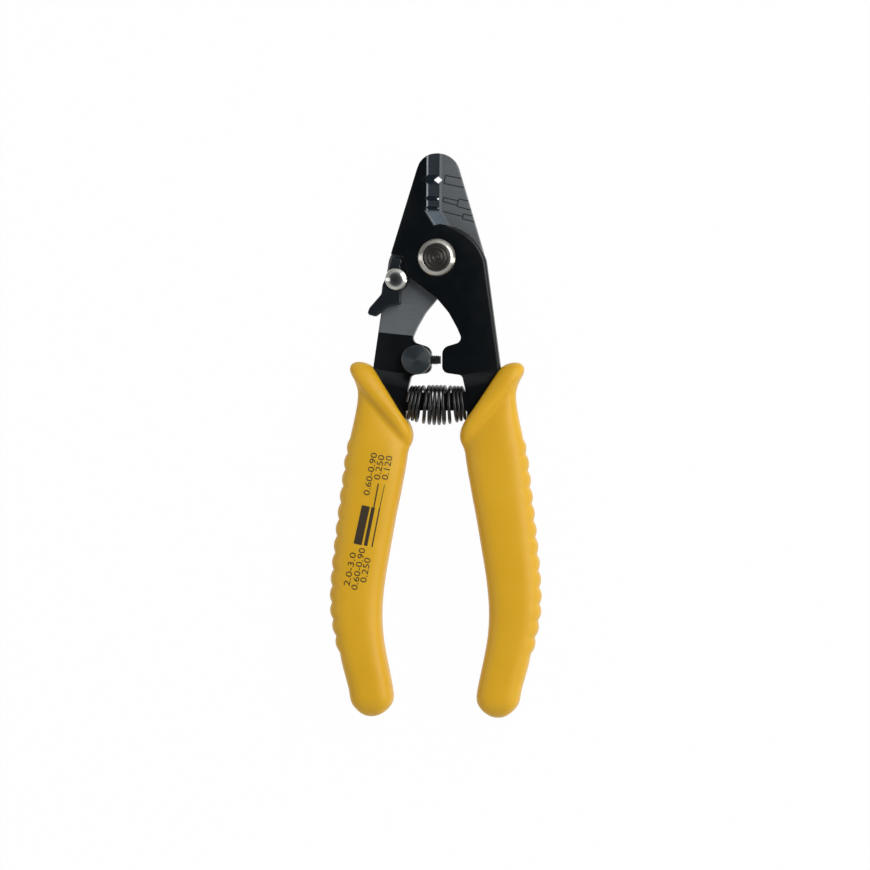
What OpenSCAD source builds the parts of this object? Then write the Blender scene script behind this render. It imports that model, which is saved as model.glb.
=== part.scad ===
// Three-hole fibre stripper of the 6-inch class.
// Two crossed plates turn on one bolt. Each is a jaw above the bolt and a
// handle below it. The tool lies on its back: Z is its thickness, Y runs
// from the handles to the nose, and the Z axis is the bolt's axis.

/* [Plates] */
// Thickness of each lever's plate
plate_t = 3; // [2.4:0.1:3.4]
// Running gap between the two plates where they cross
plate_gap = 0.1; // [0.06:0.02:0.3]
// Height of the nose above the bolt's axis
nose_y = 28.2; // [26:0.2:31]
// Corner radius of the nose
nose_r = 5.8; // [4:0.2:6.2]
// Half width of the jaws at the bolt's height
jaw_half_w = 12.75; // [12.4:0.05:13.1]
// Taper of the jaws' flanks, in degrees
jaw_taper = 16.8; // [15:0.2:18]
// How far each cutting edge passes the middle line
edge_lap = 0.33; // [0.2:0.01:0.6]
// Width of the tang inside each grip
tang_w = 9; // [7:0.5:10]
// Lowest point of the tangs
tang_end_y = -106; // [-112:1:-90]

/* [Cutting notches] */
// Plan width of the jaws' bevel
bevel_w = 3.23; // [2.8:0.05:3.4]
// Thickness that the bevel leaves at the cutting edge
edge_land = 0.15; // [0.1:0.05:0.4]
// Height of the jacket notch above the bolt's axis
jacket_y = 21; // [19:0.25:22]
// Depth of the jacket notch behind the cutting edge
jacket_depth = 1.43; // [1:0.05:1.8]
// Height of the buffer notch above the bolt's axis
buffer_y = 15.9; // [15:0.1:17]
// Depth of the buffer notch behind the cutting edge
buffer_depth = 0.62; // [0.4:0.02:0.9]
// Height of the fibre notch above the bolt's axis
fibre_y = 13.4; // [13.2:0.1:14.2]
// Depth of the fibre notch behind the cutting edge
fibre_depth = 0.42; // [0.36:0.02:0.6]

/* [Pivot] */
// Diameter of the pivot bolt's shank
bolt_d = 6; // [5:0.1:6.6]
// Diameter of the bolt's turned head
head_d = 7.45; // [7.1:0.05:8.2]
// Diameter of the conical collar's foot
collar_d = 10.3; // [9.6:0.1:12]
// Height of the conical collar
collar_h = 1.2; // [1:0.1:1.6]
// Width of the pivot nut across its flats
nut_w = 10; // [9:0.5:11]
// Running clearance on the bolt and the lock's rivet, on the radius
turn_gap = 0.05; // [0.02:0.01:0.1]

/* [Lock] */
// Sideways place of the lock's rivet
lock_x = -10.93; // [-11.2:0.01:-10.7]
// Height of the lock's rivet along Y
lock_y = -5.93; // [-6.1:0.01:-5.8]
// Thickness of the lock lever
lock_t = 2.6; // [2:0.1:2.8]
// Diameter of the rivet's domed head
rivet_d = 6.1; // [5.4:0.1:6.2]
// Diameter of the rivet's shank
rivet_shank_d = 3.2; // [2.6:0.1:3.6]

/* [Stop] */
// Height of the stop screw's axis along Y
stop_y = -27.6; // [-28:0.1:-27]
// Diameter of the stop post
post_d = 7.9; // [7:0.1:8]
// Height of the stop post above the rear lever
post_h = 5; // [4.6:0.1:6]
// Diameter of the stop screw
screw_d = 2.5; // [2:0.1:3]
// Length of the stop screw
screw_l = 10; // [7:0.5:11]
// Half width of the gap between the two lobes
lobe_x = 1.63; // [1.55:0.01:1.75]
// Gap between the screw's tip and the front lever's lobe at rest
stop_gap = 0.5; // [0.42:0.02:0.8]

/* [Spring] */
// Diameter of the spring's wire
wire_d = 0.9; // [0.7:0.05:0.95]
// Outside diameter of the spring's closed end coils
coil_end_d = 9.2; // [8.6:0.1:9.6]
// Outside diameter of the spring at its middle
coil_mid_d = 11; // [9.8:0.1:11.2]
// Open coils between the closed ends
open_coils = 6.5; // [4.5:1:6.5]
// Closed coils at each end
closed_coils = 3; // [2:1:3]
// Height of the spring tongues
tongue_w = 4.9; // [4:0.1:5.2]
// Distance of the tongues' middle from the bolt's axis
tongue_y = -38.8; // [-39.5:0.1:-38]

/* [Grips] */
// Thickness of the grips
grip_t = 12; // [11:0.5:14]
// Depth of the finger bumps on the grips' outer edges
bump_h = 0.7; // [0:0.1:1.2]
// Spacing of the finger bumps
bump_pitch = 4.5; // [4:0.1:5.2]
// Lowest point of the grips
grip_end_y = -124.1; // [-128:0.5:-118]

/* [Hidden] */

// Levels, from the resting plane up
mid_z = grip_t / 2;
rear_top = mid_z - plate_gap / 2;
rear_back = rear_top - plate_t;
front_back = mid_z + plate_gap / 2;
front_top = front_back + plate_t;
lock_top = front_back + lock_t;

// Handle outline, below the bolt
handle_lean = 7.9;               // slope of the arms' outer edges
joggle_lean = 9.5;               // slope of the joggle bends
joggle_d = post_d / 2 - stop_y + 0.85;  // joggle's distance, clear of the stop post
joggle_len = 3.3;
crotch_y = -10.95;
tongue_tip_x = lobe_x - 0.05;
tongue_root_x = 8.3;

// Lock geometry, from the rivet's centre
lock_boss_r = rivet_d / 2 + 0.1;
notch_y = 0.4;                   // roof of the lock's notch, at its inner end
lock_reach = notch_y - 0.38 - lock_y;

// Rings and sides of the swept solids
wire_sides = 6;
grip_sides = 20;

// Corners [x, y, r] of an outline as points, with each corner rounded to r
function rounded(v, steps = 7) = [
    for (i = [0:len(v) - 1])
        let (p = [v[i][0], v[i][1]],
             q = v[(i + len(v) - 1) % len(v)],
             s = v[(i + 1) % len(v)],
             a = unit([q[0], q[1]] - p),
             b = unit([s[0], s[1]] - p),
             half = acos(max(-1, min(1, a * b))) / 2,
             r = v[i][2])
        each (r == 0 ? [p] :
            let (t = r / tan(half),
                 c = p + unit(a + b) * r / sin(half),
                 u = p + a * t - c,
                 w = p + b * t - c,
                 sweep = atan2(u[0] * w[1] - u[1] * w[0], u * w))
            [for (k = [0:steps]) c + turned(u, sweep * k / steps)])
];
function unit(v) = v / norm(v);
function turned(v, a) = [v[0] * cos(a) - v[1] * sin(a), v[0] * sin(a) + v[1] * cos(a)];

// Sideways place of the jaw's flank at height y
function flank_x(y) = jaw_half_w - y * tan(jaw_taper);
// Sideways place of the arm's outer edge at height y
function arm_x(y) = 13.25 - y * tan(handle_lean);

// Corners of the arm from the crotch down to the tang and up again to the
// shoulder above the bolt: the right-hand arm, which is the front lever's
arm_corners = [
    [0, crotch_y, 0.4], [3.3, -14.85, 8], [5.5, -18.75, 12], [7.2, -22.6, 1.6],
    [lobe_x, stop_y + 3.3, 2.3], [lobe_x, stop_y - 3.4, 1.9], [7.05, -31.75, 1.2],
    [7.9, tongue_y + tongue_w / 2, 0.4],
    [tongue_tip_x, tongue_y + tongue_w / 2, 0.6],
    [tongue_tip_x, tongue_y - tongue_w / 2, 0.6],
    [tongue_root_x, tongue_y - tongue_w / 2, 0.5],
    [tongue_root_x, -49, 20], [23.2 - tang_w, -74, 60], [24 - tang_w, tang_end_y, 3],
    [24, tang_end_y, 3], [23.2, -74, 60], [arm_x(-40), -40, 30],
    [arm_x(-0.8), -0.8, 4], [10.16, 7.24, 13], [2.84, 8.6, 0.25]
];

module front_outline()
    polygon(rounded(concat(
        [[edge_lap, nose_y, 0], [-flank_x(nose_y), nose_y, nose_r],
         [-flank_x(notch_y + 0.45), notch_y + 0.45, 0.25],
         [-9.1, notch_y, 0.7], [-7.6, -5.25, 0.6]],
        arm_corners,
        [[edge_lap, 12.64, 0.3]])));

module rear_outline()
    mirror([1, 0])
        polygon(rounded(concat(
            [[edge_lap, nose_y, 0], [-flank_x(nose_y), nose_y, nose_r],
             [-flank_x(0.6), 0.6, 1.6], [-7.6, -5.25, 1.6]],
            arm_corners,
            [[edge_lap, 12.64, 0.3]])));

// The lever's thickness seen along the bends: a flat plate from z0 up at the
// jaw, and a flat tang about the middle plane below the joggle
module joggled(z0)
    rotate([0, 0, joggle_lean])
        rotate([90, 0, 90])
            translate([0, 0, -60])
                linear_extrude(height = 120)
                    polygon([[60, z0], [-joggle_d, z0],
                             [-joggle_d - joggle_len, mid_z - plate_t / 2],
                             [-160, mid_z - plate_t / 2], [-160, mid_z + plate_t / 2],
                             [-joggle_d - joggle_len, mid_z + plate_t / 2],
                             [-joggle_d, z0 + plate_t], [60, z0 + plate_t]]);

// Cuts of the front jaw, whose cutting edge lies at z = 0 on its back
module jaw_cuts() {
    // Bevel beside the straight cutting edge, with a narrow flat along its top
    translate([edge_lap, 12.6, 0]) rotate([90, 0, 180])
        mirror([1, 0, 0]) linear_extrude(height = nose_y) bevel_section();
    // Bevel beside the slanting edge, down to the pocket's floor
    intersection() {
        translate([edge_lap, 12.64, 0]) rotate([0, 0, 32.3])
            translate([0, 3, 0]) rotate([90, 0, 0])
                linear_extrude(height = 12) bevel_section();
        translate([-8, 8.58, -1]) cube([20, 4.1, plate_t + 2]);
    }
    notch(jacket_y, jacket_depth, 0.8);
    notch(buffer_y, buffer_depth, 0.8);
    notch(fibre_y, fibre_depth, 0.6);
}

// Section through the bevel: X across the jaw, Y its height
module bevel_section()
    polygon([[-bevel_w, plate_t], [-bevel_w + 0.55, plate_t - 0.2], [0, edge_land],
             [5, edge_land - 4.9], [5, plate_t + 2], [-bevel_w, plate_t + 2]]);

// V-notch sunk parallel to the bevel. Its root lies depth behind the edge.
module notch(y, depth, slope) {
    lean = atan((bevel_w - 0.3) / (plate_t - edge_land));
    translate([edge_lap - depth, y, 0]) rotate([0, -lean, 0])
        translate([0, 0, -6]) linear_extrude(height = 16)
            polygon([[0, -0.04], [6 * cos(lean), -6 * slope],
                     [6 * cos(lean), 6 * slope], [0, 0.04]]);
}

// Lever blanks, bent but not yet ground or drilled
module front_blank()
    intersection() {
        linear_extrude(height = grip_t) front_outline();
        joggled(front_back);
    }
module rear_blank()
    intersection() {
        linear_extrude(height = grip_t) rear_outline();
        mirror([1, 0, 0]) joggled(rear_back);
    }

module front_lever() color("#14181b")
    difference() {
        front_blank();
        translate([0, 0, front_back]) jaw_cuts();
        translate([0, 0, front_back - 1])
            cylinder(h = plate_t + 2, d = bolt_d + 2 * turn_gap, $fn = 48);
    }

module rear_lever() color("#5d6062")
    difference() {
        rear_blank();
        translate([0, 0, rear_top]) rotate([0, 180, 0]) jaw_cuts();
        translate([0, 0, rear_back - 1])
            cylinder(h = plate_t + 2, d = bolt_d, $fn = 48);
        translate([lock_x, lock_y, rear_back - 1])
            cylinder(h = plate_t + 2, d = rivet_shank_d, $fn = 36);
        translate([-post_x(), stop_y, rear_back - 1])
            cylinder(h = plate_t + 2, d = post_shank_d, $fn = 36);
    }

// Turned steel: head with rings, shank, and an end flush with the nut
module pivot_bolt() color("#373734") {
    collar_z = front_top + plate_gap / 2;
    head_z = collar_z + collar_h / 2;
    rotate_extrude($fn = 64)
        polygon(bolt_profile(head_z, collar_z + collar_h + 0.1));
}
function bolt_profile(head_z, top_z) =
    let (r = head_d / 2, ring_pitch = (r - 0.6) / 3)
    concat([[0, 0], [bolt_d / 2 - 0.4, 0], [bolt_d / 2, 0.4], [bolt_d / 2, head_z],
            [r, head_z], [r, top_z - 0.25], [r - 0.25, top_z]],
           [for (k = [0:2]) let (outer = r - 0.75 - k * ring_pitch) each
               [[outer, top_z], [outer - 0.1, top_z - 0.12],
                [outer - 0.3, top_z - 0.12], [outer - 0.4, top_z]]],
           [[0.3, top_z], [0, top_z - 0.25]]);

// Polished cone that the bolt's head is let into
module pivot_collar() color("#c9cbcd")
    translate([0, 0, front_top + plate_gap / 2])
        rotate_extrude($fn = 64)
            polygon([[bolt_d / 2 + 0.02, 0], [collar_d / 2, 0], [collar_d / 2, 0.3],
                     [head_d / 2 + 0.25, collar_h], [head_d / 2 + 0.03, collar_h],
                     [head_d / 2 + 0.03, collar_h / 2], [bolt_d / 2 + 0.02, collar_h / 2]]);

// Hexagon nut with chamfered corners, on which the tool also rests
module pivot_nut() color("#2c2e30")
    difference() {
        intersection() {
            cylinder(h = rear_back, d = nut_w / cos(30), $fn = 6);
            rotate_extrude($fn = 64)
                polygon([[0, 0], [nut_w / 2 - 0.2, 0], [nut_w / 2 + 0.9, 0.65],
                         [nut_w / 2 + 0.9, rear_back], [0, rear_back]]);
        }
        translate([0, 0, -1]) cylinder(h = rear_back + 2, d = bolt_d, $fn = 48);
    }

// Bent lever: a head in the notch, a boss on the rivet, and a thumb tail
lock_corners = [
    [-1.35, lock_reach, 0.4], [1.5, lock_reach - 0.3, 0.9],
    [1.5, lock_reach - 1.65, 0.6], [1.0, 3.7, 0.4], [1.5, 2.4, 0],
    [1.2, -2.4, 0], [1.2, -6.7, 0.6], [-2.3, -7.35, 3], [-5.6, -10.1, 0.9],
    [-8.0, -9.45, 0.8], [-7.3, -7.7, 0.7], [-4.1, -4.0, 1.6],
    [-3.8, -1.4, 1.2], [-2.6, 1, 2], [-2.3, 2.4, 2]];
module lock_lever() color("#101214")
    translate([lock_x, lock_y, front_back])
        difference() {
            union() {
                cylinder(h = lock_t, r = lock_boss_r, $fn = 64);
                linear_extrude(height = lock_t) polygon(rounded(lock_corners));
            }
            translate([0, 0, -1])
                cylinder(h = lock_t + 2, d = rivet_shank_d + 2 * turn_gap, $fn = 36);
        }

// Domed rivet, headed over on the back of the rear lever
module lock_rivet() color("#d4d6d8")
    translate([lock_x, lock_y, 0])
        rotate_extrude($fn = 64)
            polygon(concat(
                [[0, rear_back - 0.7], [rivet_shank_d / 2 + 0.6, rear_back - 0.7],
                 [rivet_shank_d / 2 + 0.9, rear_back - 0.4],
                 [rivet_shank_d / 2 + 0.9, rear_back], [rivet_shank_d / 2, rear_back],
                 [rivet_shank_d / 2, lock_top + 0.08]],
                dome(rivet_d / 2, 1.35, lock_top + 0.08, 9)));
// Domed head from its rim at radius r up to the axis
function dome(r, h, z, steps) =
    [for (k = [0:steps]) let (a = 90 * k / steps) [r * cos(a), z + 0.25 * sign(k) + (h - 0.25) * sin(a)]];

// Turned post, drilled and tapped across for the stop screw
post_shank_d = 4.6;
function post_x() = lobe_x + post_d / 2 - 0.25;
module stop_post() color("#17191b")
    difference() {
        translate([-post_x(), stop_y, 0])
            rotate_extrude($fn = 64)
                polygon([[0, rear_back - 0.6], [post_shank_d / 2 + 0.5, rear_back - 0.6],
                         [post_shank_d / 2 + 0.9, rear_back - 0.3],
                         [post_shank_d / 2 + 0.9, rear_back], [post_shank_d / 2, rear_back],
                         [post_shank_d / 2, rear_top], [post_d / 2 - 0.2, rear_top],
                         [post_d / 2, rear_top + 0.2],
                         [post_d / 2, rear_top + post_h - 0.4],
                         [post_d / 2 - 0.4, rear_top + post_h], [0, rear_top + post_h]]);
        translate([-post_x() - post_d, stop_y, screw_z])
            rotate([0, 90, 0]) cylinder(h = 2 * post_d, d = screw_d + 0.04, $fn = 36);
    }

// Set screw with a chamfered tip and a hexagon socket
screw_z = front_back + plate_t / 2;
screw_tip_x = lobe_x - stop_gap;
module stop_screw() color("#1c1e20")
    translate([screw_tip_x, stop_y, screw_z]) rotate([0, -90, 0])
        difference() {
            rotate_extrude($fn = 36)
                polygon([[0, 0], [screw_d / 2 - 0.45, 0], [screw_d / 2, 0.45],
                         [screw_d / 2, screw_l - 0.2], [screw_d / 2 - 0.2, screw_l],
                         [0, screw_l]]);
            translate([0, 0, screw_l - 1.4])
                cylinder(h = 2, d = screw_d * 0.58, $fn = 6);
        }

// Compression spring, its axis on an arc about the bolt
spring_r = -tongue_y + 0.95;
spring_half = asin((tongue_root_x - 0.1) / spring_r) - (wire_d / 2 + 0.05) / spring_r * 180 / PI;
spring_steps = 12;
spring_turns = open_coils + 2 * closed_coils;
spring_arc = spring_r * 2 * spring_half * PI / 180;
closed_share = closed_coils * wire_d * 1.14 / spring_arc;
wide_share = wire_d * 2.2 / spring_arc;      // the one wide turn beside the closed coils
// Share of the arc reached after so many turns: closed, one wide, open, and back
function spring_share(turn) = lookup(turn, [
    [0, 0], [closed_coils, closed_share], [closed_coils + 1, closed_share + wide_share],
    [spring_turns - closed_coils - 1, 1 - closed_share - wide_share],
    [spring_turns - closed_coils, 1 - closed_share], [spring_turns, 1]]);
function coil_r(share) =
    (coil_end_d + (coil_mid_d - coil_end_d) * sin(180 * share) - wire_d) / 2;
function spring_point(turn) =
    let (share = spring_share(turn),
         a = -90 - spring_half + 2 * spring_half * share,
         r = spring_r + coil_r(share) * cos(360 * turn + 90))
    [r * cos(a), r * sin(a), mid_z + coil_r(share) * sin(360 * turn + 90)];

module return_spring() color("#1a1b1c")
    swept([for (i = [0:spring_turns * spring_steps]) spring_point(i / spring_steps)],
          wire_d / 2, wire_sides);

// Tube of n sides along a path of points
module swept(path, r, n) {
    last = len(path) - 1;
    rings = [for (i = [0:last])
        let (along = unit(path[min(i + 1, last)] - path[max(i - 1, 0)]),
             out = unit(cross(along, [0, 0, 1]) + along * 0),
             up = cross(out, along))
        for (k = [0:n - 1]) path[i] + r * (out * cos(360 * k / n) + up * sin(360 * k / n))];
    polyhedron(rings, skin(last + 1, n));
}

// Faces of a closed tube made of rings of n points each
function skin(rings, n) = concat(
    [[for (k = [0:n - 1]) k]],
    [for (i = [0:rings - 2], k = [0:n - 1]) let (a = i * n, b = a + n, j = (k + 1) % n)
        each [[a + k, b + k, b + j], [a + k, b + j, a + j]]],
    [[for (k = [n - 1:-1:0]) (rings - 1) * n + k]]);

// Stations of the right grip from its collar to its end. Each is the inner
// point, the outer point and the half thickness. The collar's rim slants from
// the outer shoulder down to the inner side, and the sections straighten below.
grip_half = grip_t / 2;
waist = 1.25;                    // depth of the valley below the collar
grip_stations = [
    [[7.6, -44.3], [19.0, -28.5], grip_half - 1.6], [[6.7, -46.2], [22.2, -28.3], grip_half - 0.3],
    [[6.35, -48.4], [23.6, -30.0], grip_half], [[6.8, -50.2], [22.9, -31.9], grip_half - 0.4],
    [[7.5, -51.5], [21.6, -34.7], grip_half - waist], [[7.8, -53.0], [21.3, -37.4], grip_half - waist],
    [[8.1, -55.2], [21.9, -41.6], grip_half - 0.8], [[8.5, -57.6], [23.1, -47.2], grip_half - 0.3],
    [[9.0, -60.2], [24.4, -53.0], grip_half], [[9.7, -64.0], [25.3, -60.0], grip_half],
    [[10.9, -70.0], [26.4, -69.0], grip_half], [[12.3, -78.0], [27.4, -78.0], grip_half],
    [[13.8, -87.0], [28.2, -87.0], grip_half], [[14.5, -95.0], [28.3, -95.0], grip_half],
    [[14.2, -102.0], [27.2, -102.0], grip_half], [[13.0, -109.0], [25.5, -109.0], grip_half],
    [[11.5, grip_end_y + 7.8], [23.4, grip_end_y + 7.8], grip_half],
    [[11.5, grip_end_y + 4.6], [22.8, grip_end_y + 4.6], grip_half - 0.1],
    [[12.7, grip_end_y + 2.4], [21.6, grip_end_y + 2.4], grip_half - 0.9],
    [[14.4, grip_end_y + 0.9], [19.8, grip_end_y + 0.9], grip_half - 2.2],
    [[16.3, grip_end_y + 0.1], [18.0, grip_end_y + 0.1], grip_half - 4]
];
bump_from = -48.25;
bump_to = -106.75;

// Smooth curve through the stations at a fractional index
function at_station(s) =
    let (n = len(grip_stations) - 1, i = min(floor(s), n - 1), t = s - i,
         p = grip_stations[max(i - 1, 0)], q = grip_stations[i],
         u = grip_stations[i + 1], w = grip_stations[min(i + 2, n)])
    [for (k = [0:2]) smooth(p[k], q[k], u[k], w[k], t)];
function smooth(p, q, u, w, t) =
    q + (u - p) * t / 2 + (2 * p - 5 * q + 4 * u - w) * t * t / 2
    + (3 * q - p - 3 * u + w) * t * t * t / 2;
function bump(y) = y > bump_from || y < bump_to ? 0 :
    bump_h * abs(sin(180 * (y - bump_from) / bump_pitch)) - bump_h / 2;

// Indexes of the rings: even steps at the ends, four to a bump between them
bump_stations = [for (i = [0:len(grip_stations) - 1]) [-grip_stations[i][1][1], i]];
bump_count = floor((bump_from - bump_to) / bump_pitch * 4);
ring_indexes = concat(
    [for (s = [0:0.5:7]) s],
    [for (k = [0:bump_count]) lookup(-bump_from + k * bump_pitch / 4, bump_stations)],
    [for (s = [15:0.5:len(grip_stations) - 1]) s]);

function grip_ring(s) =
    let (st = at_station(s), in = st[0], out = st[1] + [bump(st[1][1]), 0],
         mid = (in + out) / 2, half = (out - in) / 2,
         pad = pow(cos(180 / grip_sides), 0.6))
    [for (k = [0:grip_sides - 1])
        let (a = 360 * (k + 0.5) / grip_sides,
             u = sign(cos(a)) * pow(abs(cos(a)), 0.6) / pad,
             v = sign(sin(a)) * pow(abs(sin(a)), 0.6) / pad)
        [mid[0] + half[0] * u, mid[1] + half[1] * u, mid_z + st[2] * v]];

module grip_body()
    polyhedron([for (s = ring_indexes) each grip_ring(s)], skin(len(ring_indexes), grip_sides));

module left_grip() color("#b9902a")
    difference() {
        mirror([1, 0, 0]) grip_body();
        rear_blank();
    }
module right_grip() color("#d9b23a")
    difference() {
        grip_body();
        front_blank();
    }

rear_lever();
front_lever();
pivot_bolt();
pivot_collar();
pivot_nut();
lock_lever();
lock_rivet();
stop_post();
stop_screw();
return_spring();
left_grip();
right_grip();
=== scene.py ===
# Fibre stripper: the finish of every piece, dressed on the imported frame.
import math

import bmesh
import bpy
from mathutils import Matrix, Vector


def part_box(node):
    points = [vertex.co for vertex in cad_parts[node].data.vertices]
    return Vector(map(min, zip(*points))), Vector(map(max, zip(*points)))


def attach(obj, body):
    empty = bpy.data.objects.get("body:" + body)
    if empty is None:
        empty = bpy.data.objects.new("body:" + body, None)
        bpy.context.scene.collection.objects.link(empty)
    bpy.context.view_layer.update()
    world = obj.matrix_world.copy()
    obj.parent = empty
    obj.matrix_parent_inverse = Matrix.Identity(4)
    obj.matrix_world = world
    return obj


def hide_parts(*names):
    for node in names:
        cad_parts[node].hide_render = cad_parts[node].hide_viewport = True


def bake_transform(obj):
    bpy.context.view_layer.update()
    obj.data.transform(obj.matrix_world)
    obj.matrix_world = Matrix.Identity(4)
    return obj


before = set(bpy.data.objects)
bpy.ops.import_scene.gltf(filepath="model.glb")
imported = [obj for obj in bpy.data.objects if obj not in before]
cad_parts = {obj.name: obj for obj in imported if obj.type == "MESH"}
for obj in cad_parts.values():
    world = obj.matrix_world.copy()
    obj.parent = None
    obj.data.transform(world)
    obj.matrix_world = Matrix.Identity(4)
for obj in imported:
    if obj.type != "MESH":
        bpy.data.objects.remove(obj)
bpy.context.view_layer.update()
MM = 0.001

# ---------------------------------------------------------------- the studio
# The tool lies on a white sweep, seen from nearly straight above by a long
# lens that stands a few degrees to its right. A soft box high on the right is
# the main light, with a low strip on each side and a room with a dark ceiling.

VIEW_WIDTH = 234.9 * MM
VIEW_CENTRE = Vector((-0.46, -47.85, 6.0)) * MM
CAMERA_DISTANCE = 1.3
CAMERA_TO_RIGHT = math.radians(5.5)
CAMERA_ROLL = math.radians(0.35)

camera_data = bpy.data.cameras.new("camera")
camera_data.sensor_width = 36
camera_data.lens = 36 * CAMERA_DISTANCE / VIEW_WIDTH
camera_data.clip_start, camera_data.clip_end = 0.1, 20
camera = bpy.data.objects.new("camera", camera_data)
bpy.context.scene.collection.objects.link(camera)
camera.matrix_world = (
    Matrix.Translation(VIEW_CENTRE)
    @ Matrix.Rotation(CAMERA_ROLL, 4, "Z")
    @ Matrix.Rotation(CAMERA_TO_RIGHT, 4, "Y")
    @ Matrix.Translation((0, 0, CAMERA_DISTANCE))
)
bpy.context.scene.camera = camera
bpy.context.scene.view_settings.view_transform = "Standard"


def paint(hex_colour):
    """A colour written as sRGB hex, as the linear values that a shader takes."""
    parts = [int(hex_colour[i : i + 2], 16) / 255 for i in (1, 3, 5)]
    return (*[c / 12.92 if c <= 0.04045 else ((c + 0.055) / 1.055) ** 2.4 for c in parts], 1)


def add(tree, kind, sockets, **settings):
    """Adds a node. A socket takes a plain value, another node's result, or one of its outputs."""
    node = tree.nodes.new("ShaderNode" + kind)
    for name, value in settings.items():
        setattr(node, name, value)
    for key, value in sockets.items():
        if isinstance(value, bpy.types.Node):
            value = next(output for output in value.outputs if output.enabled)
        if isinstance(value, bpy.types.NodeSocket):
            tree.links.new(value, node.inputs[key])
        else:
            node.inputs[key].default_value = value
    return node


def soft_box(name, place, size, watts, colour="#ffffff"):
    """A rectangular soft box that faces the middle of the tool."""
    lamp = bpy.data.lights.new(name, "AREA")
    lamp.shape, lamp.size, lamp.size_y = "RECTANGLE", size[0], size[1]
    lamp.energy, lamp.color = watts, paint(colour)[:3]
    box = bpy.data.objects.new(name, lamp)
    bpy.context.scene.collection.objects.link(box)
    box.location = place
    box.rotation_mode = "QUATERNION"
    box.rotation_quaternion = (VIEW_CENTRE - Vector(place)).to_track_quat("-Z", "Y")


soft_box("key_upper_right", (0.62, 0.3, 0.72), (0.7, 0.7), 4.5)
soft_box("side_right", (0.95, -0.15, 0.22), (0.25, 1.2), 2.9, "#fbffee")
soft_box("side_left", (-0.8, 0.0, 0.45), (0.25, 1.0), 0.9)

world = bpy.data.worlds.new("room")
bpy.context.scene.world = world
world.use_nodes = True
room = world.node_tree
room.nodes.clear()
CEILING_TO_LEFT = math.radians(8)
facing = add(room, "TexCoord", {}).outputs["Generated"]
turned = add(room, "Mapping", {"Vector": facing, "Rotation": (0, CEILING_TO_LEFT, 0)})
towards = add(room, "SeparateXYZ", {0: turned}).outputs
# a dark ceiling above the camera, pale walls, and a dark skirting at the horizon
walls = add(room, "ValToRGB", {0: towards["Z"]})
horizon, ceiling = walls.color_ramp.elements
horizon.position, horizon.color = 0.0, paint("#303234")
ceiling.position, ceiling.color = 1.0, paint("#3c3e42")
for position, colour in ((0.1, "#5a5c5e"), (0.22, "#e6e6e4"), (0.74, "#f2f4f6"), (0.9, "#606468")):
    walls.color_ramp.elements.new(position).color = paint(colour)
# brighter to the right, and darker in two of the four corners
to_right = add(room, "MapRange", {0: towards["X"], 1: -1, 2: 1, 3: 0.55, 4: 1.15})
corner = add(room, "Math", {0: towards["X"], 1: towards["Y"]}, operation="MULTIPLY")
corner_share = add(room, "MapRange", {0: corner, 1: -0.4, 2: 0.4, 3: 0.62, 4: 1.22})
level = add(room, "Math", {0: to_right, 1: corner_share}, operation="MULTIPLY")
dim = add(room, "Background", {"Color": walls, "Strength": level})
white = add(room, "Background", {"Color": (1, 1, 1, 1), "Strength": 1})
seen = add(room, "LightPath", {}).outputs["Is Camera Ray"]
behind = add(room, "MixShader", {0: seen, 1: dim, 2: white})
add(room, "OutputWorld", {"Surface": behind})

SHADOW_SHARE = 0.015  # how much of the sweep is lit paper, which takes the soft shadow
bpy.ops.mesh.primitive_plane_add(size=6, location=(0, 0, -0.02 * MM))
sweep = bpy.context.object
sweep.name = "paper_sweep"
paper = bpy.data.materials.new("white_paper_sweep")
paper.use_nodes = True
tree = paper.node_tree
tree.nodes.clear()
ray = add(tree, "LightPath", {}).outputs
seen = add(tree, "Math", {0: ray["Is Camera Ray"], 1: ray["Is Glossy Ray"]}, operation="MAXIMUM")
seen = add(tree, "Math", {0: seen, 1: ray["Is Transmission Ray"]}, operation="MAXIMUM")
share = add(tree, "Math", {0: seen, 1: 1 - SHADOW_SHARE}, operation="MULTIPLY")
sheet = add(tree, "BsdfDiffuse", {"Color": paint("#ececec")})
glow = add(tree, "Emission", {"Color": (1, 1, 1, 1), "Strength": 1})
mixed = add(tree, "MixShader", {0: share, 1: sheet, 2: glow})
add(tree, "OutputMaterial", {"Surface": mixed})
sweep.data.materials.append(paper)

# ----------------------------------------------------------- the two levers
# Blanked from 3 mm tool steel, black-oxided all over, then ground on the faces
# that slide on each other. The blanks' outer edges are tumbled round, and the
# jaws' bevels are ground and blued, their colours holding painted light and shade.

REAR_BACK, REAR_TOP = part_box("rear_lever")[0].z, 5.95 * MM
FRONT_BACK, FRONT_TOP = 6.05 * MM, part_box("front_lever")[1].z
OUTER_ROUND = 1.05 * MM
NEAR = 0.02 * MM  # how close to a face's height still counts as on it
GROUND_TO_Y, GROUND_LEAN = -21.75 * MM, 0.1  # the line where the ground face ends
JAW_EDGE_X = 0.33 * MM
BEVEL_CORNER_Y, SLANT = 12.62 * MM, 0.632  # where the cutting edge starts to lean, and how far
JAW_FLANK_X, JAW_TAPER = 12.75 * MM, math.tan(math.radians(16.8))
ARM_OUTER_X, ARM_LEAN = 13.25 * MM, math.tan(math.radians(7.9))
# bands, each by its middle and its reach: along the jaws, then across past the cutting edge
JAW_MIDDLE_Y, JAW_REACH = 24.31 * MM, 15.69 * MM
BEVEL_MIDDLE, BEVEL_REACH = -1.6 * MM, 1.8 * MM
TOP_LINE_MIDDLE, TOP_LINE_REACH, TOP_LINE_DEPTH = -3.0 * MM, 0.4 * MM, 0.15 * MM
PALE_STRIP_MIDDLE, PALE_STRIP_REACH = -0.19 * MM, 0.81 * MM


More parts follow.
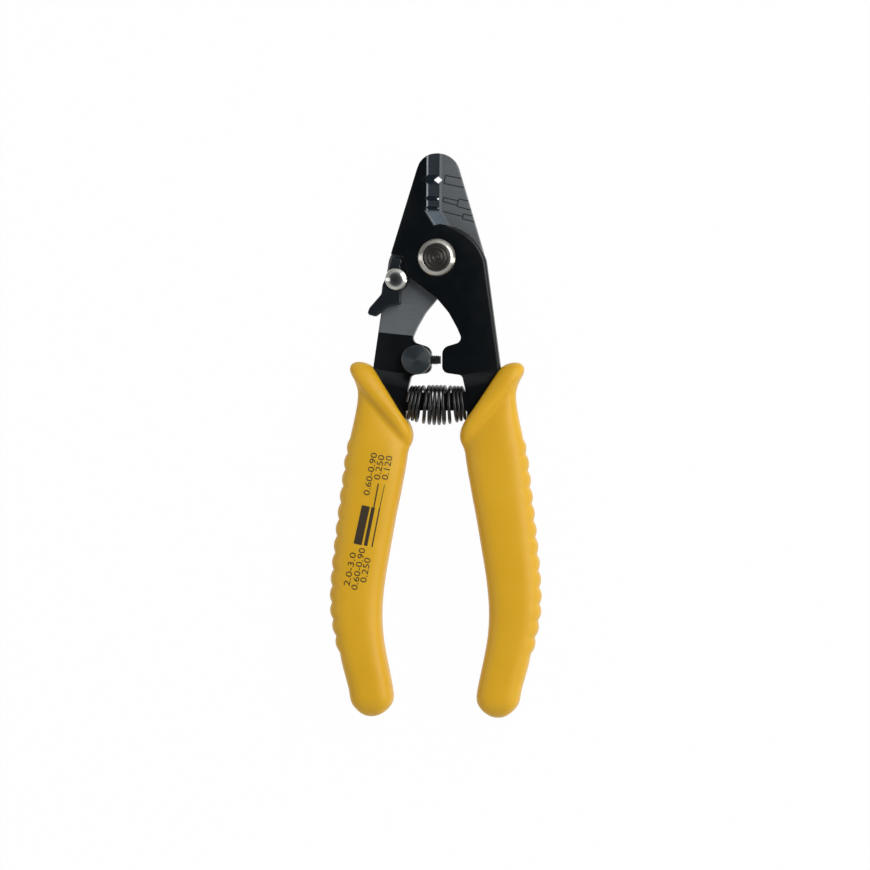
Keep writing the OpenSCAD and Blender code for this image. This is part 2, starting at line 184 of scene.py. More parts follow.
def copy_of(node, name):
    """A piece made from a CAD node: welded, with its flat faces whole again, in edit mode."""
    piece = bpy.data.objects.new(name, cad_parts[node].data.copy())
    bpy.context.scene.collection.objects.link(piece)
    bpy.ops.object.select_all(action="DESELECT")
    bpy.context.view_layer.objects.active = piece
    piece.select_set(True)
    piece.data.materials.clear()
    bpy.ops.object.mode_set(mode="EDIT")
    bpy.ops.mesh.select_all(action="SELECT")
    bpy.ops.mesh.remove_doubles(threshold=0.001 * MM)
    bpy.ops.mesh.dissolve_limited(angle_limit=math.radians(0.3))
    bpy.ops.mesh.select_all(action="DESELECT")
    return piece


def apply_modifier(piece, kind, **settings):
    """Adds one modifier to the piece and applies it."""
    bpy.ops.object.select_all(action="DESELECT")
    bpy.context.view_layer.objects.active = piece
    piece.select_set(True)
    made = piece.modifiers.new(kind.lower(), kind)
    for key, value in settings.items():
        setattr(made, key, value)
    bpy.ops.object.modifier_apply(modifier=made.name)


def round_edges(piece, width, weight_of, segments=4):
    """Rounds edges by up to width: weight_of(end, end, face angle) gives each one's share."""
    bpy.ops.object.mode_set(mode="OBJECT")
    work = bmesh.new()
    work.from_mesh(piece.data)
    weights = work.edges.layers.float.new("bevel_weight_edge")
    for edge in work.edges:
        edge[weights] = weight_of(edge.verts[0].co, edge.verts[1].co, edge.calc_face_angle(0))
    work.to_mesh(piece.data)
    work.free()
    apply_modifier(piece, "BEVEL", width=width, segments=segments, limit_method="WEIGHT",
                   use_clamp_overlap=False)


def finish_piece(piece, body, material, smooth_angle=35, keep_sharp=None):
    """Smooth shading, the finish, and the body that the piece rides on."""
    if piece.mode == "EDIT":
        bpy.ops.object.mode_set(mode="OBJECT")
    bpy.ops.object.select_all(action="DESELECT")
    bpy.context.view_layer.objects.active = piece
    piece.select_set(True)
    bpy.ops.object.shade_smooth_by_angle(angle=math.radians(smooth_angle))
    if keep_sharp:
        work = bmesh.new()
        work.from_mesh(piece.data)
        for edge in work.edges:
            if keep_sharp(edge.verts[0].co, edge.verts[1].co) and edge.calc_face_angle(0) > 0.03:
                edge.smooth = False
        work.to_mesh(piece.data)
        work.free()
    piece.data.materials.clear()
    piece.data.materials.append(material)
    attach(piece, body)


def start_material(name):
    """A new material, its empty tree, and the place on the piece that its patterns read."""
    material = bpy.data.materials.new(name)
    material.use_nodes = True
    tree = material.node_tree
    tree.nodes.clear()
    return material, tree, add(tree, "TexCoord", {}).outputs["Object"]


def end_material(tree, sockets):
    """The main shader with its sockets, and the output."""
    shader = add(tree, "BsdfPrincipled", sockets)
    add(tree, "OutputMaterial", {"Surface": shader})


def black_oxide(name, dark="#03070a", light="#070c10", rough=0.3, specular=0.36, dress=None):
    """Hot black oxide on steel: nearly black, a little blue, softly mottled over a few
    millimetres. Its grain is finer than can show, so it's drawn 0.19 mm wide, to soften
    the highlights. dress(tree, place, sockets) adds what is ground or turned on it."""
    material, tree, place = start_material(name)
    mottle = add(tree, "TexNoise", {"Vector": place, "Scale": 1 / (3.85 * MM), "Detail": 4})
    grain = add(tree, "TexNoise", {"Vector": place, "Scale": 1 / (0.19 * MM), "Detail": 2})
    colours = {"Factor": mottle, "A": paint(dark), "B": paint(light)}
    sockets = {
        "Base Color": add(tree, "Mix", colours, data_type="RGBA"),
        "Roughness": add(tree, "Math", {0: mottle, 1: 0.12, 2: rough - 0.06}, operation="MULTIPLY_ADD"),
        "Normal": add(tree, "Bump", {"Height": grain, "Strength": 0.3, "Distance": 0.004 * MM}),
        "Metallic": 0.15,
        "Specular IOR Level": specular,
    }
    if dress:
        dress(tree, place, sockets)
    end_material(tree, sockets)
    return material


def past_edge(tree, axes):
    """How far a place lies past the front jaw's cutting edge, straight or slanting."""
    under_corner = add(tree, "Math", {0: BEVEL_CORNER_Y, 1: axes["Y"]}, operation="SUBTRACT")
    lean = add(tree, "Math", {0: under_corner, 1: 0.0}, operation="MAXIMUM")
    edge = add(tree, "Math", {0: lean, 1: SLANT, 2: JAW_EDGE_X}, operation="MULTIPLY_ADD")
    return add(tree, "Math", {0: axes["X"], 1: edge}, operation="SUBTRACT")


def ground_bevel(tree, place, sockets):
    """Ground and blued, with painted light and shade: the straight bevel is dark blue, its blue real
    and its darkness painted shade; the slanting one is pale as painted light. Both have fine grinding
    streaks across the edge, and a painted highlight runs along the bevel's top."""
    axes = add(tree, "SeparateXYZ", {0: place}).outputs
    past = past_edge(tree, axes)
    # COMPARE gives 1 where the first value is within the third of the second
    in_jaw = add(tree, "Math", {0: axes["Y"], 1: JAW_MIDDLE_Y, 2: JAW_REACH}, operation="COMPARE")
    below = add(tree, "Math", {0: axes["Z"], 1: FRONT_TOP - 0.015 * MM}, operation="LESS_THAN")
    across = add(tree, "Math", {0: past, 1: BEVEL_MIDDLE, 2: BEVEL_REACH}, operation="COMPARE")
    bevel = add(tree, "Math", {0: in_jaw, 1: below}, operation="MULTIPLY")
    bevel = add(tree, "Math", {0: bevel, 1: across}, operation="MULTIPLY")
    long_way, streak_width = 1 / (3.3 * MM), 1 / (0.263 * MM)
    stretched = add(tree, "Mapping", {"Vector": place, "Scale": (long_way, streak_width, long_way)})
    streaks = add(tree, "TexNoise", {"Vector": stretched, "Scale": 1, "Detail": 3})
    # painted shade darkens the straight bevel's blue, and the slanting bevel's pale grey is painted light
    blued_painted_shade = {"Factor": streaks, "A": paint("#0a121c"), "B": paint("#12202e")}
    painted_light_slant = {"Factor": streaks, "A": paint("#4e5861"), "B": paint("#626d76")}
    blued_painted_shade = add(tree, "Mix", blued_painted_shade, data_type="RGBA")
    painted_light_slant = add(tree, "Mix", painted_light_slant, data_type="RGBA")
    straight = add(tree, "Math", {0: axes["Y"], 1: BEVEL_CORNER_Y}, operation="GREATER_THAN")
    colour = add(tree, "Mix", {"Factor": straight, "A": painted_light_slant, "B": blued_painted_shade}, data_type="RGBA")
    # a painted highlight, a pale grey line along the bevel's top edge
    line_from = FRONT_TOP - TOP_LINE_DEPTH
    high_up = add(tree, "Math", {0: axes["Z"], 1: line_from}, operation="GREATER_THAN")
    top_line = {0: past, 1: TOP_LINE_MIDDLE, 2: TOP_LINE_REACH}
    along_top = add(tree, "Math", top_line, operation="COMPARE")
    painted_highlight_line = add(tree, "Math", {0: high_up, 1: along_top}, operation="MULTIPLY")
    painted_highlight_line = add(tree, "Math", {0: bevel, 1: painted_highlight_line}, operation="MULTIPLY")
    colour = add(tree, "Mix", {"Factor": painted_highlight_line, "A": colour, "B": paint("#737b81")}, data_type="RGBA")
    colours = {"Factor": bevel, "A": sockets["Base Color"], "B": colour}
    sockets["Base Color"] = add(tree, "Mix", colours, data_type="RGBA")


def ground_face(tree, place, sockets):
    """Ground down to the steel on the upper face: mid grey with faint lines across the lever, 0.28 mm
    wide so that they show, and a paler strip along the front jaw's edge."""
    axes = add(tree, "SeparateXYZ", {0: place}).outputs
    long_way, line_width = 1 / (5.55 * MM), 1 / (0.278 * MM)
    stretched = add(tree, "Mapping", {"Vector": place, "Scale": (long_way, line_width, long_way)})
    lines = add(tree, "TexNoise", {"Vector": stretched, "Scale": 1, "Detail": 3})
    greys = {"Factor": lines, "A": paint("#5a5e61"), "B": paint("#75797c")}
    steel = add(tree, "Mix", greys, data_type="RGBA")
    past = past_edge(tree, axes)
    # a paler grey strip along the front jaw's cutting edge
    strip = add(tree, "Math", {0: past, 1: PALE_STRIP_MIDDLE, 2: PALE_STRIP_REACH}, operation="COMPARE")
    in_jaw = add(tree, "Math", {0: axes["Y"], 1: JAW_MIDDLE_Y, 2: JAW_REACH}, operation="COMPARE")
    pale_strip = add(tree, "Math", {0: strip, 1: in_jaw}, operation="MULTIPLY")
    steel = add(tree, "Mix", {"Factor": pale_strip, "A": steel, "B": paint("#7e8388")}, data_type="RGBA")
    upper = add(tree, "Math", {0: axes["Z"], 1: REAR_TOP - 0.1 * MM, 2: 0.2 * MM}, operation="COMPARE")
    along = add(tree, "Math", {0: axes["X"], 1: GROUND_LEAN, 2: axes["Y"]}, operation="MULTIPLY_ADD")
    before_end = add(tree, "Math", {0: along, 1: GROUND_TO_Y}, operation="GREATER_THAN")
    ground = add(tree, "Math", {0: upper, 1: before_end}, operation="MULTIPLY")
    colours = {"Factor": ground, "A": sockets["Base Color"], "B": steel}
    sockets["Base Color"] = add(tree, "Mix", colours, data_type="RGBA")
    height = add(tree, "Math", {0: lines, 1: ground}, operation="MULTIPLY")
    relief = {"Height": height, "Strength": 0.5, "Distance": 0.012 * MM}
    sockets["Normal"] = add(tree, "Bump", relief)


def jaw_zone(a, b):
    """True where both ends lie in the jaws' bevels and notches, which stay sharp."""
    return all(p.y > 8.3 * MM and abs(p.x) < 5.2 * MM for p in (a, b))


def outer_share(p, side):
    """How much of the full rounding a place on the outline takes: 1 on the flank, the
    shoulder arc and the arm's outer edge, fading out before the sharp corners."""
    x = p.x * side

    def fade(distance):
        return max(0.0, min(1.0, distance / (2.5 * MM)))

    on_flank = x < -(JAW_FLANK_X - p.y * JAW_TAPER) + 0.4 * MM
    if p.y > 0.7 * MM and (on_flank or (p.y > 22 * MM and x < -2.6 * MM)):
        return min(fade(p.y - 1.2 * MM), fade(-2.4 * MM - x))
    if x > 3 * MM and -1.5 * MM < p.y < 8.7 * MM:
        return fade(x - 3.2 * MM)
    if p.y < -0.5 * MM and x > ARM_OUTER_X - p.y * ARM_LEAN - 0.6 * MM:
        return 1.0
    return 0.0


def outline_weight(face_z, back_z, side, outer, inner, back):
    """The share of rounding for each edge of a lever's two outlines."""
    def weight(a, b, angle):
        if angle < 0.5 or jaw_zone(a, b):
            return 0.0
        if abs(a.z - face_z) < NEAR and abs(b.z - face_z) < NEAR:
            return max(inner, outer * min(outer_share(a, side), outer_share(b, side)))
        if abs(a.z - back_z) < NEAR and abs(b.z - back_z) < NEAR:
            return back
        return 0.0
    return weight


front_plate = copy_of("front_lever", "front_plate")
round_edges(front_plate, OUTER_ROUND, outline_weight(FRONT_TOP, FRONT_BACK, 1, 1.0, 0.12, 0.1))
# the bevels' colours carry painted light, painted shade and a painted highlight
front_steel = black_oxide("black_oxide_ground_bevel", dress=ground_bevel)
finish_piece(front_plate, "front_half", front_steel, keep_sharp=jaw_zone)
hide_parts("front_lever")

rear_plate = copy_of("rear_lever", "rear_plate")
round_edges(rear_plate, OUTER_ROUND, outline_weight(REAR_TOP, REAR_BACK, -1, 0.35, 0.12, 0.12))
rear_steel = black_oxide("black_oxide_ground_face", dress=ground_face)
finish_piece(rear_plate, "rear_half", rear_steel, keep_sharp=jaw_zone)
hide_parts("rear_lever")

# ------------------------------------------------------ marks on the rear jaw
# Thin dark outlines of stepped cables, one beside each notch, burnt into the
# ground face with a laser. They run out over the flank.

MARK_WIDTH = 0.3 * MM


def flat_bar(start, end, width, level, cuts=1):
    """A thin strip from start to end, in mm, as a grid that can be laid on a curved face."""
    a, b = Vector((*start, 0)) * MM, Vector((*end, 0)) * MM
    along = b - a
    bpy.ops.mesh.primitive_grid_add(x_subdivisions=cuts, y_subdivisions=max(1, cuts // 4), size=1)
    bar = bpy.context.object
    bpy.ops.object.mode_set(mode="EDIT")
    bpy.ops.mesh.select_all(action="SELECT")
    bpy.ops.transform.resize(value=(along.length, width, 1))
    bpy.ops.object.mode_set(mode="OBJECT")
    turn = Matrix.Rotation(math.atan2(along.y, along.x), 4, "Z")
    bar.data.transform(Matrix.Translation((a + b) / 2 + Vector((0, 0, level))) @ turn)
    return bar


def joined(parts, name):
    """Joins loose parts into one piece."""
    bpy.ops.object.select_all(action="DESELECT")
    for part in parts:
        part.select_set(True)
    bpy.context.view_layer.objects.active = parts[0]
    bpy.ops.object.join()
    parts[0].name = name
    return parts[0]


def flank_at(y):
    """The jaw's flank at height y, in mm."""
    return JAW_FLANK_X / MM - y * JAW_TAPER


MARK_LINES = [
    # the short, thick outline beside the first notch
    ((1.94, 22.24), (flank_at(21.4), 21.4)),
    ((1.94, 22.24), (1.55, 20.07)),
    ((1.55, 20.07), (flank_at(18.95), 18.95)),
    # the stepped outline beside the second
    ((1.44, 16.29), (5.5, 15.37)),
    ((1.44, 16.29), (1.31, 15.21)),
    ((1.31, 15.21), (5.23, 14.15)),
    ((5.63, 15.91), (flank_at(15.35), 15.35)),
    ((5.63, 15.91), (5.10, 13.88)),
    ((5.10, 13.88), (flank_at(12.9), 12.9)),
    # the line and its short outline beside the third
    ((1.3, 12.51), (6.7, 11.19)),
    ((6.87, 11.87), (flank_at(11.3), 11.3)),
    ((6.87, 11.87), (6.6, 10.52)),
    ((6.6, 10.52), (flank_at(9.75), 9.75)),
]
mark_bars = [flat_bar(a, b, MARK_WIDTH, REAR_TOP + NEAR) for a, b in MARK_LINES]
marks = joined(mark_bars, "laser_marks")
# burnt steel: matt, nearly black, and a little uneven along each line
mark_material, tree, place = start_material("laser_burnt_steel")
speckle = add(tree, "TexNoise", {"Vector": place, "Scale": 1 / (0.4 * MM), "Detail": 3})
colours = {"Factor": speckle, "A": paint("#101214"), "B": paint("#24282a")}
colour = add(tree, "Mix", colours, data_type="RGBA")
end_material(tree, {"Base Color": colour, "Metallic": 0.1, "Roughness": 0.6})
finish_piece(marks, "rear_half", mark_material)

# -------------------------------------------------------------- the pivot
# A turned bolt with fine rings on its face, sunk in a polished steel cone,
# and a hexagon nut behind. The cone's turning lines spread its highlights.

RING_PITCH = 0.5 * MM


def turned_rings(tree, place, pitch, x=0.0, y=0.0):
    """Turning lines round an axis: their wave, and the direction outwards from the axis,
    along which a turned face stretches its highlights."""
    off_axis = add(tree, "VectorMath", {0: place, 1: (x, y, 0)}, operation="SUBTRACT")
    flat = add(tree, "VectorMath", {0: off_axis, 1: (1, 1, 0)}, operation="MULTIPLY")
    from_axis = add(tree, "VectorMath", {0: flat}, operation="LENGTH")
    turns = add(tree, "Math", {0: from_axis, 1: math.tau / pitch}, operation="MULTIPLY")
    outwards = add(tree, "VectorMath", {0: flat}, operation="NORMALIZE")
    return add(tree, "Math", {0: turns}, operation="SINE"), outwards


bolt = copy_of("pivot_bolt", "turned_bolt")
# turned and blackened steel: rings of two warm greys, with a fan of soft light across them
bolt_material, tree, place = start_material("turned_blackened_steel")
rings, outwards = turned_rings(tree, place, RING_PITCH)
colours = {"Factor": rings, "A": paint("#353330"), "B": paint("#4e4c48")}
end_material(tree, {
    "Base Color": add(tree, "Mix", colours, data_type="RGBA"),
    "Normal": add(tree, "Bump", {"Height": rings, "Strength": 0.2, "Distance": 0.01 * MM}),
    "Tangent": outwards, "Metallic": 0.8, "Roughness": 0.4, "Anisotropic": 0.6,
})
finish_piece(bolt, "rear_half", bolt_material)
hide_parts("pivot_bolt")


def revolved(name, profile, steps=96, centre=(0, 0)):
    """A turned piece: its profile, [radius, height] in mm, spun about a vertical axis."""
    mesh = bpy.data.meshes.new(name)
    lines = [(i, i + 1) for i in range(len(profile) - 1)]
    mesh.from_pydata([(r * MM, 0, z * MM) for r, z in profile], lines, [])
    piece = bpy.data.objects.new(name, mesh)
    bpy.context.scene.collection.objects.link(piece)
    apply_modifier(piece, "SCREW", angle=math.tau, steps=steps, render_steps=steps, axis="Z")
    bpy.ops.object.mode_set(mode="EDIT")
    bpy.ops.mesh.select_all(action="SELECT")
    bpy.ops.mesh.remove_doubles(threshold=0.001 * MM)
    bpy.ops.mesh.normals_make_consistent(inside=False)
    bpy.ops.object.mode_set(mode="OBJECT")
    piece.data.transform(Matrix.Translation((centre[0], centre[1], 0)))
    return piece


# the cone's profile, [radius, height] in mm, from its foot over its rounded top to its bore
COLLAR_FOOT, COLLAR_BORE, COLLAR_SEAT = 9.1, 3.02, 9.7
collar = revolved("polished_ring", [
    (COLLAR_BORE, COLLAR_FOOT), (5.12, COLLAR_FOOT), (5.12, 9.3), (5.05, 9.42), (4.8, 9.66),
    (4.5, 9.9), (4.2, 10.1), (4.0, 10.22), (3.88, 10.27), (3.8, 10.26), (3.756, 10.22),
    (3.756, COLLAR_SEAT), (COLLAR_BORE, COLLAR_SEAT), (COLLAR_BORE, COLLAR_FOOT),
])
# polished steel: bright and neutral, with a trace of its turning that blurs what it mirrors
collar_material, tree, place = start_material("polished_turned_steel")
cloud = add(tree, "TexNoise", {"Vector": place, "Scale": 1 / (2.5 * MM), "Detail": 3})
trace = add(tree, "TexNoise", {"Vector": place, "Scale": 1 / (0.333 * MM), "Detail": 3})
colours = {"Factor": cloud, "A": paint("#aca8a0"), "B": paint("#c9c7c2")}
end_material(tree, {
    "Base Color": add(tree, "Mix", colours, data_type="RGBA"),
    "Normal": add(tree, "Bump", {"Height": trace, "Strength": 0.2, "Distance": 0.003 * MM}),
    "Metallic": 1.0, "Roughness": 0.2,
})
finish_piece(collar, "rear_half", collar_material, smooth_angle=40)
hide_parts("pivot_collar")

nut = copy_of("pivot_nut", "hexagon_nut")
round_edges(nut, 0.12 * MM, lambda a, b, angle: 1.0 if angle > 0.4 else 0.0, segments=2)
finish_piece(nut, "rear_half", black_oxide("black_oxide_nut", "#121416", "#202427"))
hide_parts("pivot_nut")

# --------------------------------------------------------- the handle lock
# A pressed and tumbled black steel lever whose head stands in the front lever's
# notch. It turns on a nickel-plated rivet with a polished dome, clenched behind.

LOCK_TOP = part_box("lock_lever")[1].z
RIVET_X, RIVET_Y = -10.93 * MM, -5.93 * MM

lock = copy_of("lock_lever", "lock_plate")


def lock_edge(a, b, angle):
    """1 on the lock's upper outline, 0 round the rivet's hole and elsewhere."""
    off_rivet = (a.xy - Vector((RIVET_X, RIVET_Y))).length > 2 * MM
    return 1.0 if angle > 0.5 and min(a.z, b.z) > LOCK_TOP - NEAR and off_rivet else 0.0


round_edges(lock, 0.4 * MM, lock_edge)
lock_steel = black_oxide("black_oxide_lock", "#12161a", "#1f252b", specular=0.5)
finish_piece(lock, "lock", lock_steel)
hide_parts("lock_lever")

# foot, shank and rim of the rivet, then its dome, [radius, height] in mm
RIVET_RIM_Z, RIVET_R, DOME_HEIGHT = 8.73, 3.05, 1.12
foot = [
    (0, 2.25), (2.2, 2.25), (2.5, 2.5), (2.5, 2.95), (1.6, 2.95),
    (1.6, RIVET_RIM_Z), (2.95, RIVET_RIM_Z),
]
dome = [
    (RIVET_R * math.cos(math.radians(a)), RIVET_RIM_Z + 0.22 + DOME_HEIGHT * math.sin(math.radians(a)))
    for a in range(0, 91, 5)
]
rivet = revolved("domed_rivet", foot + dome, centre=(RIVET_X, RIVET_Y))
# polished nickel plate: a near mirror, faintly warm, that shows the room round its dome
rivet_material, tree, place = start_material("polished_nickel_plate")
cloud = add(tree, "TexNoise", {"Vector": place, "Scale": 1 / (1.11 * MM), "Detail": 3})
colours = {"Factor": cloud, "A": paint("#bdbab4"), "B": paint("#d2d0cc")}
colour = add(tree, "Mix", colours, data_type="RGBA")
end_material(tree, {"Base Color": colour, "Metallic": 1.0, "Roughness": 0.12})
finish_piece(rivet, "rear_half", rivet_material, smooth_angle=60)
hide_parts("lock_rivet")

# ------------------------------------------------------ stop post and screw
# A turned black post, cross-drilled for a small set screw with a cut thread.
# The post's face shows its turning rings and a fan-shaped shine.

POST_X, POST_Y = -5.33 * MM, -27.6 * MM
post = copy_of("stop_post", "turned_post")


def post_rim(a, b, angle):
    """1 round the post's upper face, 0 elsewhere."""
    return 1.0 if angle > 0.5 and min(a.z, b.z) > 9 * MM else 0.0


def turned_face(tree, place, sockets):
    """Faint turning rings on the post's face, and a fan of light across them."""
    rings, outwards = turned_rings(tree, place, 0.55 * MM, POST_X, POST_Y)
    sockets["Normal"] = add(tree, "Bump", {"Height": rings, "Strength": 0.5, "Distance": 0.01 * MM})
    sockets.update({"Tangent": outwards, "Anisotropic": 0.8})


round_edges(post, 0.08 * MM, post_rim, segments=2)
post_steel = black_oxide("black_oxide_turned", "#1c2227", "#2a3238", 0.42, 0.7, turned_face)
finish_piece(post, "rear_half", post_steel)
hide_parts("stop_post")

SCREW_Z = 7.55 * MM
SCREW_TIP_X = 1.13 * MM
SCREW_LENGTH, SCREW_R = 10 * MM, 1.25 * MM
THREAD_PITCH, THREAD_DEPTH = 0.5 * MM, 0.18 * MM
SOCKET_WALL, SOCKET_DEPTH = 0.28 * MM, 1.4 * MM
THREAD_STARTS, THREAD_ENDS = 0.35 * MM, 0.75 * MM


def select_faces(piece, wanted):
    """In edit mode, selects only the faces for which wanted(centre, normal) is true."""
    mesh = bmesh.from_edit_mesh(piece.data)
    bpy.ops.mesh.select_mode(type="FACE")
    for face in mesh.faces:
        face.select_set(wanted(face.calc_center_median(), face.normal))
    mesh.select_flush_mode()
    bmesh.update_edit_mesh(piece.data)


# the core, down to the thread's root, with the socket for its key sunk in one end
root_r = SCREW_R - THREAD_DEPTH
bpy.ops.mesh.primitive_cylinder_add(vertices=32, radius=root_r, depth=SCREW_LENGTH, end_fill_type="NGON")
screw_core = bpy.context.object
bpy.ops.object.mode_set(mode="EDIT")
select_faces(screw_core, lambda centre, normal: normal.z > 0.9)
bpy.ops.mesh.inset(thickness=SOCKET_WALL, depth=0)
bpy.ops.mesh.extrude_region_move(TRANSFORM_OT_translate={"value": (0, 0, -SOCKET_DEPTH)})
bpy.ops.object.mode_set(mode="OBJECT")

# one turn's ridge, sunk a little in the core, wound up by the Screw modifier and closed
ridge_r = root_r - 0.03 * MM
ridge_section = [(ridge_r, 0.1), (SCREW_R, 0.32), (SCREW_R, 0.68), (ridge_r, 0.9)]
ridge_mesh = bpy.data.meshes.new("ridge")
ridge_mesh.from_pydata(
    [(r, 0, share * THREAD_PITCH) for r, share in ridge_section], [(0, 1), (1, 2), (2, 3), (3, 0)], [])
ridge = bpy.data.objects.new("ridge", ridge_mesh)
bpy.context.scene.collection.objects.link(ridge)
turns = int((SCREW_LENGTH - THREAD_STARTS - THREAD_ENDS) / THREAD_PITCH)
apply_modifier(ridge, "SCREW", steps=32, render_steps=32, iterations=turns, screw_offset=THREAD_PITCH,
               axis="Z")
bpy.ops.object.mode_set(mode="EDIT")
bpy.ops.mesh.select_all(action="SELECT")
bpy.ops.mesh.remove_doubles(threshold=0.001 * MM)
bpy.ops.mesh.select_all(action="SELECT")
bpy.ops.mesh.fill_holes(sides=4)
bpy.ops.mesh.select_all(action="SELECT")
bpy.ops.mesh.normals_make_consistent(inside=False)
bpy.ops.object.mode_set(mode="OBJECT")
ridge.data.transform(Matrix.Translation((0, 0, THREAD_STARTS - SCREW_LENGTH / 2)))
screw = joined([screw_core, ridge], "threaded_screw")
lie_down = Matrix.Rotation(math.radians(-90), 4, "Y")
screw.data.transform(Matrix.Translation((SCREW_TIP_X - SCREW_LENGTH / 2, POST_Y, SCREW_Z)) @ lie_down)
screw_steel = black_oxide("black_oxide_screw", "#15181a", "#282c2f")
finish_piece(screw, "stop", screw_steel, smooth_angle=30)
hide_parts("stop_screw")

# --------------------------------------------------------- the return spring
# Black music wire wound barrel-shaped, with closed end coils on the tongues.
# The coils share a curved axis round the bolt.

WIRE_D = 0.9
SPRING_R = 39.75
MID_Z = 6  # half way between the two levers
COIL_END_D, COIL_MID_D = 9.2, 11.0
OPEN_COILS, CLOSED_COILS = 6.5, 3
SPRING_END_X, SPRING_END_GAP = 8.2, 0.05
SPRING_HALF = math.asin(SPRING_END_X / SPRING_R) - (WIRE_D / 2 + SPRING_END_GAP) / SPRING_R
SPRING_ARC = SPRING_R * 2 * SPRING_HALF
CLOSED_SHARE = CLOSED_COILS * WIRE_D * 1.14 / SPRING_ARC  # closed coils, a hair apart
WIDE_SHARE = WIRE_D * 2.2 / SPRING_ARC  # the one wide turn beside the closed coils
SPRING_TURNS = OPEN_COILS + 2 * CLOSED_COILS
POINTS_A_TURN = 32


def arc_share(turn):
    """The share of the spring's arc reached after so many turns: closed, one wide, open, and back."""
    if turn > SPRING_TURNS / 2:
        return 1 - arc_share(SPRING_TURNS - turn)
    if turn < CLOSED_COILS:
        return turn / CLOSED_COILS * CLOSED_SHARE
    if turn < CLOSED_COILS + 1:
        return CLOSED_SHARE + (turn - CLOSED_COILS) * WIDE_SHARE
    reached, open_turns = CLOSED_SHARE + WIDE_SHARE, OPEN_COILS - 2
    return reached + (turn - CLOSED_COILS - 1) / open_turns * (1 - 2 * reached)


def spring_point(turn):
    """A point on the wire's axis, in mm, after so many turns from the rear end."""
    share = arc_share(turn)
    coil = (COIL_END_D + (COIL_MID_D - COIL_END_D) * math.sin(math.pi * share) - WIRE_D) / 2
    angle = -math.pi / 2 - SPRING_HALF + 2 * SPRING_HALF * share
    wound = math.tau * turn + math.pi / 2
    radius = SPRING_R + coil * math.cos(wound)
    return radius * math.cos(angle), radius * math.sin(angle), MID_Z + coil * math.sin(wound)


wire_curve = bpy.data.curves.new("wire", "CURVE")
wire_curve.dimensions = "3D"
wire_curve.bevel_depth = WIRE_D / 2 * MM
wire_curve.bevel_resolution = 3
wire_curve.use_fill_caps = True
wire_path = wire_curve.splines.new("POLY")
wire_points = [spring_point(i / POINTS_A_TURN) for i in range(int(SPRING_TURNS * POINTS_A_TURN) + 1)]
wire_path.points.add(len(wire_points) - 1)
for point, (x, y, z) in zip(wire_path.points, wire_points):
    point.co = (x * MM, y * MM, z * MM, 1)
spring = bpy.data.objects.new("wire_spring", wire_curve)
bpy.context.scene.collection.objects.link(spring)
bpy.ops.object.select_all(action="DESELECT")
bpy.context.view_layer.objects.active = spring
spring.select_set(True)
bpy.ops.object.convert(target="MESH")
spring = bpy.context.object
bpy.ops.object.shade_smooth()
spring.data.materials.append(black_oxide("oiled_music_wire", "#060708", "#0d0e10", 0.24, 0.75))
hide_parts("return_spring")
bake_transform(spring)

# ------------------------------------------------------------- the two grips
# Soft yellow vinyl moulded over the tangs: a fat rounded rim, a narrow waist
# under it, broad pillowed faces, and thirteen finger ripples on the outer edge.

GRIP_SIDES = 32
BUMP_PITCH, BUMP_HEIGHT = 4.5, 0.75
BUMPS_FROM, BUMP_COUNT = -48.25, 13
SECTION_POWER = 0.62  # below 1 it squares an oval section's corners
# inner point, outer point and half thickness, in mm, from the rim to the end
RIM_AND_WAIST = [
    ((8.6, -43.6), (17.4, -29.4), 3.6), ((7.5, -44.5), (19.3, -28.4), 4.7),
    ((6.8, -45.9), (21.8, -28.1), 5.5), ((6.4, -47.2), (23.3, -28.9), 5.9),
    ((6.35, -48.6), (23.65, -30.2), 5.85), ((6.6, -49.8), (23.2, -31.5), 5.5),
    ((7.15, -50.9), (22.3, -33.2), 4.75), ((7.5, -51.8), (21.7, -35.0), 4.5),
    ((7.8, -53.0), (21.35, -37.2), 4.75), ((8.1, -55.2), (21.9, -41.6), 5.3),
    ((8.5, -57.6), (23.1, -47.2), 5.7),
]
BODY = [
    ((9.0, -60.2), (24.4, -53.0), 5.93), ((9.7, -64.0), (25.3, -60.0), 5.97),
    ((10.9, -70.0), (26.4, -69.0), 5.97), ((12.3, -78.0), (27.4, -78.0), 5.97),
    ((13.8, -87.0), (28.2, -87.0), 5.97), ((14.5, -95.0), (28.3, -95.0), 5.97),
    ((14.2, -102.0), (27.2, -102.0), 5.97), ((13.0, -109.0), (25.5, -109.0), 5.97),
    ((11.5, -116.3), (23.4, -116.3), 5.97), ((11.3, -119.2), (22.95, -119.2), 5.85),
    ((11.9, -120.8), (22.3, -120.8), 5.4), ((12.9, -122.1), (21.2, -122.1), 4.6),
    ((14.2, -123.1), (20.0, -123.1), 3.6), ((15.6, -123.75), (18.7, -123.75), 2.2),
    ((16.7, -123.95), (17.6, -123.95), 0.9),
]
STATIONS = RIM_AND_WAIST + BODY


def spline(values, t):
    """Catmull-Rom through four values."""
    p, q, u, w = values
    slope, bend, twist = u - p, 2 * p - 5 * q + 4 * u - w, 3 * q - p - 3 * u + w
    return q + slope * t / 2 + bend * t * t / 2 + twist * t ** 3 / 2


def station(index):
    """The inner point, outer point and half thickness at a fractional station."""
    last = len(STATIONS) - 1
    i = min(int(index), last - 1)
    four = [STATIONS[max(0, min(last, i + k))] for k in (-1, 0, 1, 2)]
    flat = [[*s[0], *s[1], s[2]] for s in four]
    v = [spline([row[k] for row in flat], index - i) for k in range(5)]
    return Vector(v[0:2]), Vector(v[2:4]), v[4]


